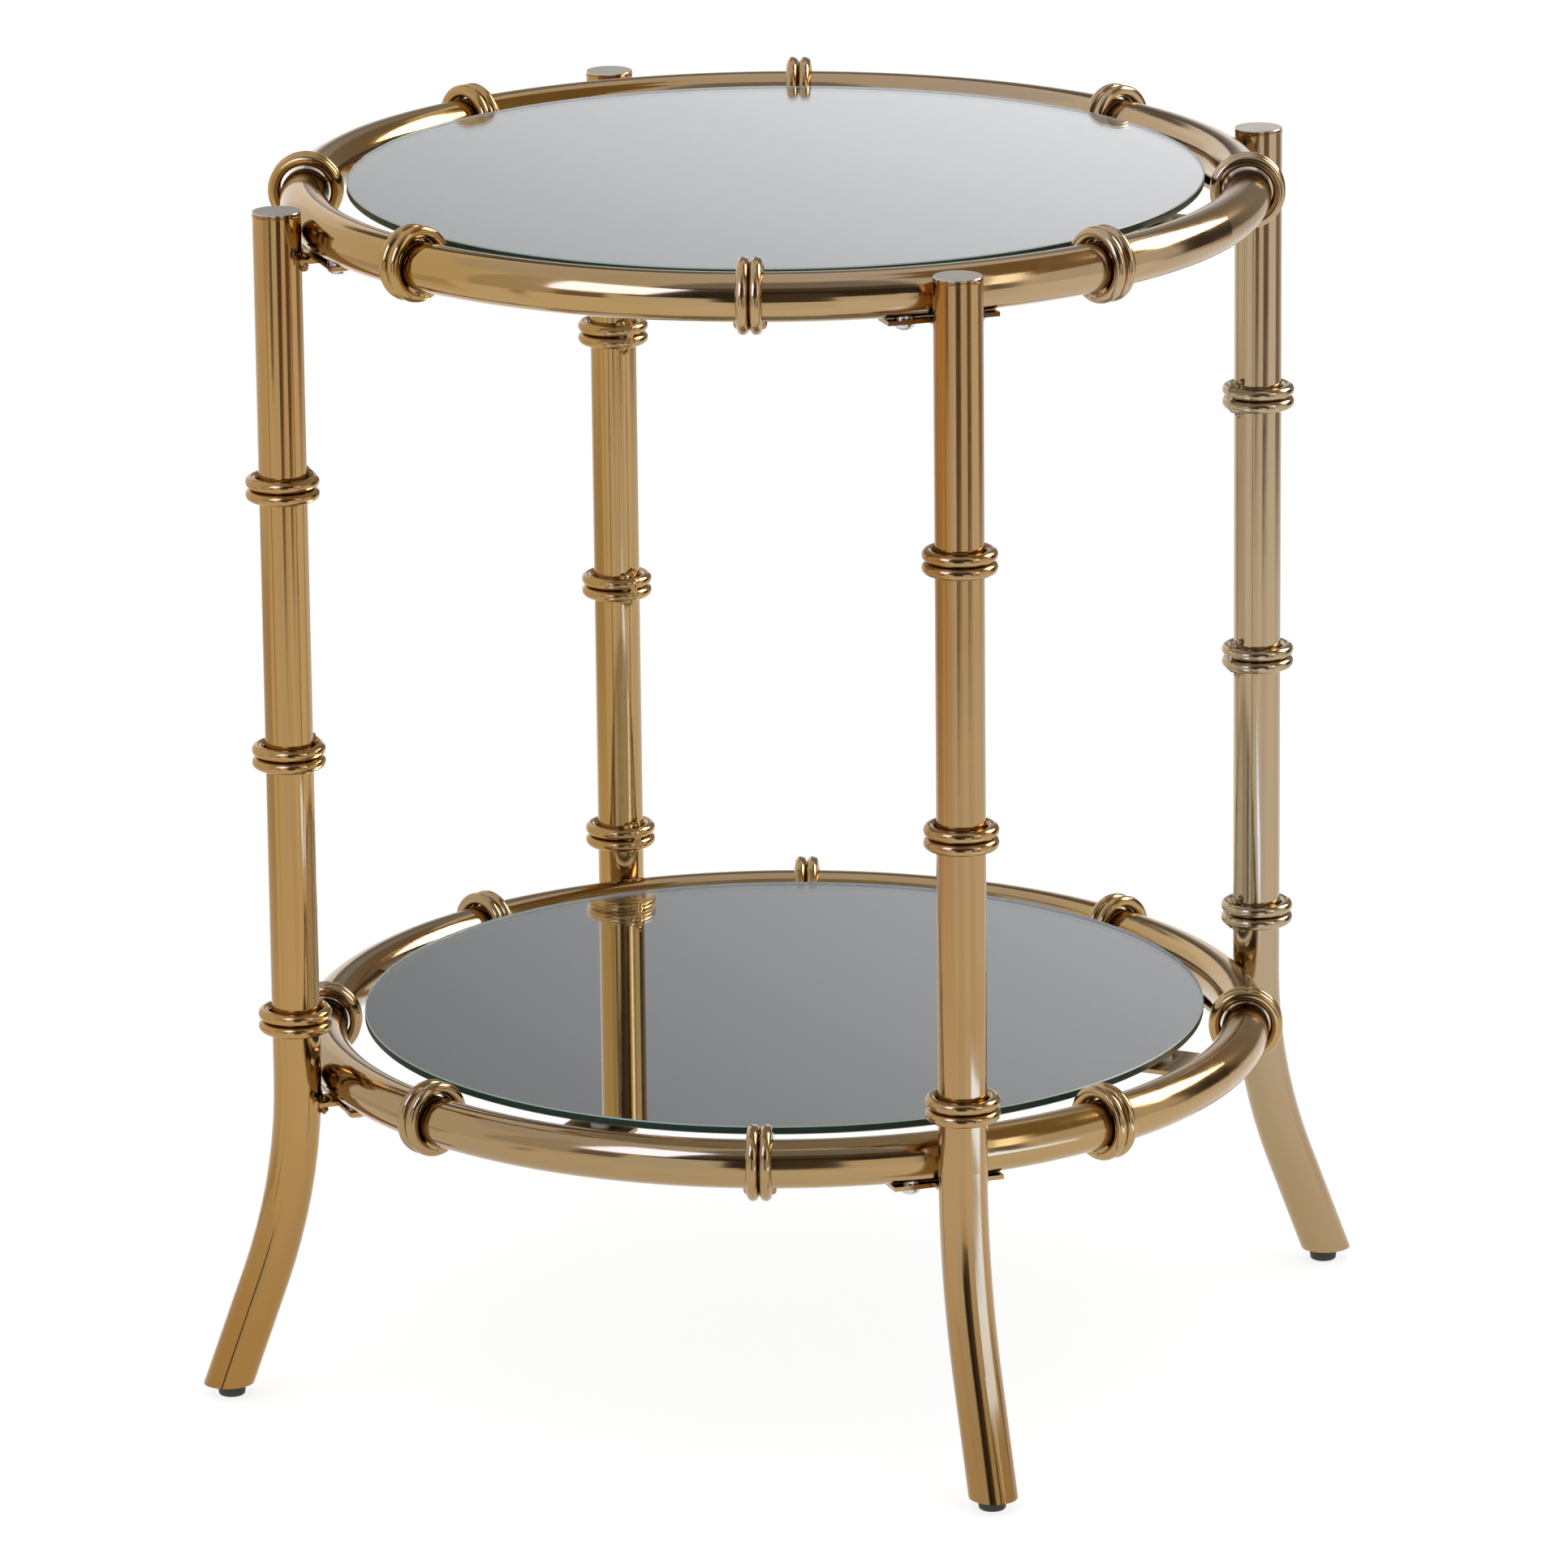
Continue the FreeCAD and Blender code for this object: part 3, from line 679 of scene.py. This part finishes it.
def floor_paper(name):
    """Matt white paper: white to the eye and in the metal, and darker where the table shades it."""
    material, tree = new_tree(name)
    spot = add(tree, "ShaderNodeTexCoord").outputs["Object"]
    # paper fibre mottling, drawn 4 mm across so that it shows
    fibre = add(tree, "ShaderNodeTexNoise", {"Vector": spot, "Scale": 1 / 0.004,
                                             "Detail": 2.0}).outputs["Fac"]
    colour = add(tree, "ShaderNodeMix", {0: fibre, 6: linear("#E4E4E4"), 7: linear("#E8E8E8")},
                 data_type="RGBA").outputs[2]
    matt = add(tree, "ShaderNodeBsdfDiffuse", {"Color": colour}).outputs["BSDF"]
    ray = add(tree, "ShaderNodeLightPath").outputs
    seen = add(tree, "ShaderNodeMath", {0: ray["Is Camera Ray"], 1: ray["Is Glossy Ray"]},
               operation="MAXIMUM").outputs["Value"]
    seen = add(tree, "ShaderNodeMath", {0: seen, 1: ray["Is Transmission Ray"]},
               operation="MAXIMUM").outputs["Value"]
    # to the eye and in mirrors the paper glows, and only 38 % of its shading is left
    lift = add(tree, "ShaderNodeEmission", {"Strength": 0.8}).outputs["Emission"]
    shaded = add(tree, "ShaderNodeMixShader", {0: 0.62, 1: matt}).outputs["Shader"]
    lifted = add(tree, "ShaderNodeAddShader", {0: lift, 1: shaded}).outputs["Shader"]
    surface = add(tree, "ShaderNodeMixShader", {0: seen, 1: matt, 2: lifted}).outputs["Shader"]
    add(tree, "ShaderNodeOutputMaterial", {"Surface": surface})
    return material


FLOOR_HALF = 9
floor_mesh = bpy.data.meshes.new("studio_floor")
floor_mesh.from_pydata([(-FLOOR_HALF, -FLOOR_HALF, 0), (FLOOR_HALF, -FLOOR_HALF, 0),
                        (FLOOR_HALF, FLOOR_HALF, 0), (-FLOOR_HALF, FLOOR_HALF, 0)], [], [(0, 1, 2, 3)])
floor_mesh.materials.append(floor_paper("white_paper"))
floor = bpy.data.objects.new("studio_floor", floor_mesh)
bpy.context.scene.collection.objects.link(floor)

TOWARDS_CAMERA, RIGHT = Vector((0.4322, -0.9018, 0)), Vector((0.9018, 0.4322, 0))


def card(name, corners, shade, level=1.0, fades=(), in_mirrors=True):
    """A lit or dark card that only shows in the metal and, with in_mirrors, in the mirror glass.
    corners are (azimuth, distance, height) round its edge. Each fade is (direction, or None for out from the
    middle, start, end, shade at the start, shade at the end) along the card."""
    spots = []
    for azimuth, distance, height in corners:
        angle = math.radians(azimuth)
        spots.append(TOWARDS_CAMERA * distance * math.cos(angle) + RIGHT * distance * math.sin(angle)
                     + UP * height)
    data = bpy.data.meshes.new(name)
    data.from_pydata(spots, [], [tuple(range(len(spots)))])
    material, tree = new_tree(name)
    colour = linear(shade)
    for direction, start, end, start_shade, end_shade in fades:
        spot = add(tree, "ShaderNodeTexCoord").outputs["Object"]
        if direction is None:
            along = add(tree, "ShaderNodeVectorMath", {0: spot}, operation="LENGTH").outputs["Value"]
        else:
            along = add(tree, "ShaderNodeVectorMath", {0: spot, 1: tuple(direction)},
                        operation="DOT_PRODUCT").outputs["Value"]
        factor = add(tree, "ShaderNodeMapRange", {"Value": along, "From Min": start,
                                                  "From Max": end}).outputs["Result"]
        veil = add(tree, "ShaderNodeMix", {0: factor, 6: linear(start_shade), 7: linear(end_shade)},
                   data_type="RGBA").outputs[2]
        colour = add(tree, "ShaderNodeMix", {0: 1.0, 6: colour, 7: veil}, data_type="RGBA",
                     blend_type="MULTIPLY").outputs[2]
    glow = add(tree, "ShaderNodeEmission", {"Color": colour, "Strength": level}).outputs["Emission"]
    add(tree, "ShaderNodeOutputMaterial", {"Surface": glow})
    data.materials.append(material)
    made = bpy.data.objects.new(name, data)
    bpy.context.scene.collection.objects.link(made)
    made.visible_camera = made.visible_diffuse = made.visible_shadow = False
    made.visible_transmission = in_mirrors


def upright(name, left, right, near, far, low, high, shade, level=1.0, fades=(), in_mirrors=True):
    """An upright card between two azimuths: near and far are its distances at the left and right end."""
    corners = [(left, near, low), (right, far, low), (right, far, high), (left, near, high)]
    card(name, corners, shade, level, fades, in_mirrors)


WHITE, CREAM, WARM, COOL, BROWN, DUSK = "#FFFFFF", "#FFF8EC", "#E8DCCB", "#E2E8FC", "#958159", "#896E64"
# in front: a dark room behind the camera, with boards, a reflector and a soft box beside the table
upright("dark_wall", -34, 38, 3.9, 3.9, 0.0, 2.6, WARM, 0.06, in_mirrors=False)
upright("dark_wall_top", -34, 38, 3.9, 3.9, 2.6, 4.2, WARM, 0.15, in_mirrors=False)
card("front_ceiling", [(-34, 3.9, 4.2), (38, 3.9, 4.2), (48, 1.2, 5.0), (-34, 1.2, 5.0)], COOL, 0.45,
     in_mirrors=False)
upright("camera_stand", -3, 14, 2.3, 2.3, 0.0, 1.5, WARM, 0.13, in_mirrors=False)
upright("left_board", -36, -13, 1.05, 1.12, 0.0, 0.60, "#EEF6FF", 1.15)
upright("right_board", 12, 30, 1.5, 1.6, 0.0, 0.67, WHITE)
card("low_reflector", [(26.0, 0.461, 0.114), (52.0, 0.4, 0.075), (52.0, 0.4, 0.118), (26.0, 0.461, 0.145)],
     "#9CBAFF", 6.0)
card("soft_box_left", [(-47.5, 0.97, 0.68), (-26.8, 1.04, 0.69), (-18.2, 0.67, 0.93), (-46.0, 0.56, 0.93)],
     "#A5B7FF", 8.0)
upright("brown_patch", -45.5, -34.5, 0.965, 0.965, 0.3, 0.61, "#958990")
# at the left
upright("side_shade", -68, -46, 1.2, 1.2, 0.3, 1.6, WHITE, 0.75)
upright("left_wall", -150, -68, 2.6, 2.0, 0.0, 1.4, WHITE)
# at the right: a tall slanted soft box and a wall that turns brown above
card("soft_box_right", [(47.5, 4.4, 1.19), (54.5, 4.4, 1.19), (66, 4.4, 4.1), (58, 4.4, 4.1)], WHITE, 2.9)
upright("under_right_box", 45, 55, 2.6, 3.5, 0.0, 0.9, WARM, 0.3)
upright("right_wall", 60, 103, 4.6, 4.6, 0.0, 2.5, WHITE, 0.85)
upright("right_wall_top", 60, 103, 4.6, 4.6, 2.5, 5.0, BROWN)
card("right_ceiling", [(60, 4.6, 5.0), (103, 4.6, 5.0), (150, 4.6, 5.0), (150, 1.5, 5.4), (103, 1.5, 5.4),
                       (60, 1.5, 5.4)], BROWN)
# behind: a bright soft box, the walls beside it and the grey backdrop that the mirrors show
card("soft_box_back", [(101, 4.4, 2.0), (131, 4.4, 2.0), (139, 4.4, 4.6), (103, 4.4, 4.6)], CREAM, 12.0)
upright("under_back_box", 103, 128, 3.4, 3.9, 0.0, 1.85, WARM, 0.08, in_mirrors=False)
upright("back_right_wall", 128, 166, 4.6, 4.6, 0.0, 4.0, WARM, 0.35, in_mirrors=False)
upright("back_left_wall", -172, -137, 3.2, 3.0, 0.0, 2.2, WHITE, 1.15)
upright("back_drop", 150, 210, 11.0, 11.0, 0.0, 2.82, "#F8F7FA", 1.42,
        [(UP, 2.5, 2.76, "#EAEAEA", "#CBCBCB"), (RIGHT, -1.0, 1.0, "#B4B4B4", "#FFFFFF")])
upright("back_drop_top", 150, 210, 11.0, 11.0, 2.82, 9.0, "#F8F7FA", 1.44,
        [(UP, 2.89, 3.25, "#ABABAB", "#959595"), (RIGHT, -0.9, 0.9, "#A6A6A6", "#FFFFFF")])
card("ceiling", [(-90, 6, 5.6), (0, 6, 5.6), (90, 6, 5.6), (180, 6, 5.6)], COOL, 1.1, in_mirrors=False)
# on the floor: patches that fade outwards into the shade of the room, a hair above the paper
SHADE_NEAR, SHADE_FAR, SHADE_LIFT = 0.7, 4.5, 0.003
FLOOR_SHADES = [
    ("front", -10, 13, (TOWARDS_CAMERA * 0.714 - RIGHT * 0.7, 1.03, 1.3, WHITE, DUSK)),
    ("right", 30, 56, (TOWARDS_CAMERA, 1.05, 1.3, WHITE, DUSK)),
    ("back", 96, 128, (None, 1.5, 1.9, WHITE, "#A8988C")),
    ("left", -61, -57, (None, 1.0, 1.5, WHITE, "#C8BEB4")),
    ("back_left", -140, -78, (None, 0.75, 1.2, WHITE, "#E6E0D8")),
    ("back_right", 130, 172, (None, 1.2, 2.0, WHITE, "#E0DACE")),
]
for name, left, right, fade in FLOOR_SHADES:
    card("floor_shade_" + name, [(left, SHADE_NEAR, SHADE_LIFT), (right, SHADE_NEAR, SHADE_LIFT),
                                 (right, SHADE_FAR, SHADE_LIFT), (left, SHADE_FAR, SHADE_LIFT)],
         WHITE, 1.0, [fade])

# an even white light from all round
world = bpy.data.worlds.new("studio_world")
world.use_nodes = True
world.node_tree.nodes.clear()
sky = add(world.node_tree, "ShaderNodeBackground", {"Color": linear("#FFFFFF"), "Strength": 1.0})
add(world.node_tree, "ShaderNodeOutputWorld", {"Surface": sky.outputs["Background"]})
bpy.context.scene.world = world
bpy.context.scene.view_settings.view_transform = "Standard"


# The camera: a long lens some 4.7 m away and 1.5 m up, which frames the table as the photo does.
# Its place, aim and roll were fitted to the outlines of the hoops and legs.

EYE, AIM = Vector((1.9406, -4.0484, 1.5284)), Vector((0.00087, 0.00042, 0.2636))
ROLL = math.radians(0.603)
camera_data = bpy.data.cameras.new("photo_camera")
camera_data.sensor_width = 36.0
camera_data.lens = 231.56
camera_data.clip_end = 60.0
camera = bpy.data.objects.new("photo_camera", camera_data)
bpy.context.scene.collection.objects.link(camera)
bpy.context.scene.camera = camera
ahead = (AIM - EYE).normalized()
level_right = ahead.cross(UP).normalized()
level_down = ahead.cross(level_right)
rolled_right = level_right * math.cos(ROLL) + level_down * math.sin(ROLL)
rolled_down = level_down * math.cos(ROLL) - level_right * math.sin(ROLL)
turned = Matrix((rolled_right, -rolled_down, -ahead)).transposed().to_4x4()
camera.matrix_world = Matrix.Translation(EYE) @ turned
